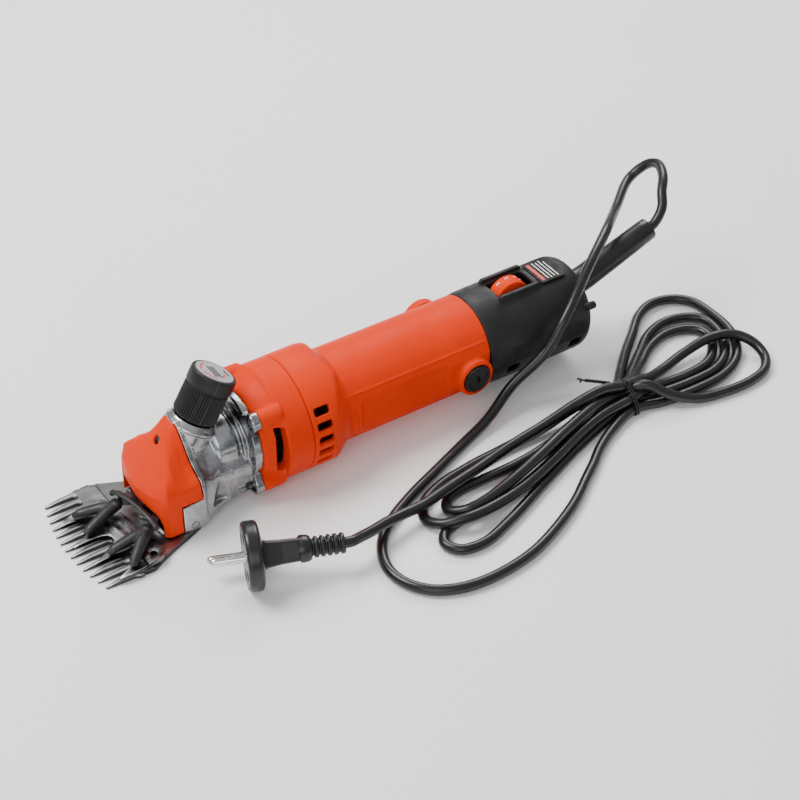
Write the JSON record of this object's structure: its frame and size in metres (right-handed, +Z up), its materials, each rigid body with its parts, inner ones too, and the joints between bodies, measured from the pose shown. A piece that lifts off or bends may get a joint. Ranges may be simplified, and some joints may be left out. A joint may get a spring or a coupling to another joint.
{
  "type": "sheep shears",
  "caption": "Handheld electric sheep shears with toothed comb, swinging cutter, tension knob, motor grip, speed dial, tied cord and plug.",
  "frame": {"origin": "middle of the tool without its cord, on the surface it rests on", "axes": "+X along the motor axis towards the cord, +Z up, blades towards -X"},
  "size_m": [0.4308, 0.1945, 0.0877],
  "materials": {
    "orange_plastic": "moulded, fine grain",
    "black_plastic": "fine moulded texture",
    "rubber": "satin",
    "cast_aluminium": "polished die casting",
    "ground_steel": "ground",
    "bright_steel": "nickel plated",
    "brass": "satin",
    "copper": "enamelled wire",
    "core_steel": "laminated",
    "carbon": "pressed carbon",
    "grey_plate": "satin",
    "label": "printed",
    "board": "lacquered"
  },
  "bodies": {
    "tool": {"comb": "ground_steel", "comb_screw_left": "ground_steel", "comb_screw_right": "ground_steel", "fork_post": "ground_steel", "gear_head": "cast_aluminium", "head_cover": "orange_plastic", "cover_screw": "ground_steel", "tension_bush": "ground_steel", "crank_bearing_front": "ground_steel", "crank_bearing_rear": "brass", "gear_plate": "cast_aluminium", "front_ring": "orange_plastic", "flange_screw_1": "ground_steel", "flange_screw_2": "ground_steel", "flange_screw_3": "ground_steel", "flange_screw_4": "ground_steel", "armature_bearing_front": "ground_steel", "armature_bearing_rear": "ground_steel", "stator_core": "core_steel", "stator_windings": "copper", "bearing_bridge": "black_plastic", "motor_housing": "orange_plastic", "brush_holder_left": "brass", "brush_holder_right": "brass", "carbon_brush_left": "carbon", "carbon_brush_right": "carbon", "brush_cap_left": "black_plastic", "brush_cap_right": "black_plastic", "rear_housing": "black_plastic", "speed_board": "board", "switch_body": "black_plastic", "rating_plate": "label", "cord_clamp": "ground_steel", "cord_guard": "rubber", "cord_lead": "rubber", "cord_hank": "rubber", "cord_tail": "rubber", "cord_tie": "black_plastic", "plug_body": "rubber", "plug_pin_left": "bright_steel", "plug_pin_right": "bright_steel"},
    "fork": {"fork": "ground_steel", "yoke_left": "black_plastic", "yoke_right": "black_plastic", "yoke_spring": "black_plastic", "cutter": "ground_steel"},
    "armature": {"armature_shaft": "ground_steel", "armature_core": "core_steel", "armature_windings": "copper", "commutator": "copper", "cooling_fan": "black_plastic"},
    "crank": {"crankshaft": "ground_steel", "driven_gear": "ground_steel"},
    "roller": {"crank_roller": "ground_steel"},
    "tension_pin": {"tension_pin": "ground_steel"},
    "knob": {"tension_knob": "black_plastic", "knob_badge": "grey_plate"},
    "dial": {"speed_dial": "orange_plastic"},
    "rocker": {"switch_rocker": "black_plastic"}
  },
  "joints": [
    {"name": "fork_swing", "type": "hinge", "parent": "tool", "child": "fork", "pos_m": [-0.093, 0, 0.0208], "axis": [0, 0, 1], "range_deg": [-20, 0]},
    {"name": "armature_spin", "type": "hinge", "parent": "tool", "child": "armature", "pos_m": [0.017, 0, 0.034], "axis": [1, 0, 0], "continuous": true},
    {"name": "crank_spin", "type": "hinge", "parent": "tool", "child": "crank", "pos_m": [-0.07, 0, 0.0208], "axis": [1, 0, 0], "continuous": true},
    {"name": "roller_spin", "type": "hinge", "parent": "crank", "child": "roller", "pos_m": [-0.0752, 0.00317, 0.0208], "axis": [1, 0, 0], "continuous": true},
    {"name": "knob_turn", "type": "hinge", "parent": "tool", "child": "knob", "pos_m": [-0.0864, 0, 0.0567], "axis": [0.5225, 0, 0.8526], "range_deg": [0, 360]},
    {"name": "tension_slide", "type": "slide", "parent": "tool", "child": "tension_pin", "axis": [0.5225, 0, 0.8526], "range_m": [0, 0.0016]},
    {"name": "dial_turn", "type": "hinge", "parent": "tool", "child": "dial", "pos_m": [0.1218, 0, 0.053], "axis": [0, 1, 0], "range_deg": [-250, 0]},
    {"name": "rocker_tilt", "type": "hinge", "parent": "tool", "child": "rocker", "pos_m": [0.164, -0.0155, 0.0365], "axis": [0, 1, 0], "range_deg": [0, 16]}
  ],
  "couplings": [
    {"joint": "crank_spin", "follows": "armature_spin", "ratio": -0.22222},
    {"joint": "tension_slide", "follows": "knob_turn", "m_per_rad": 0.00023873}
  ]
}
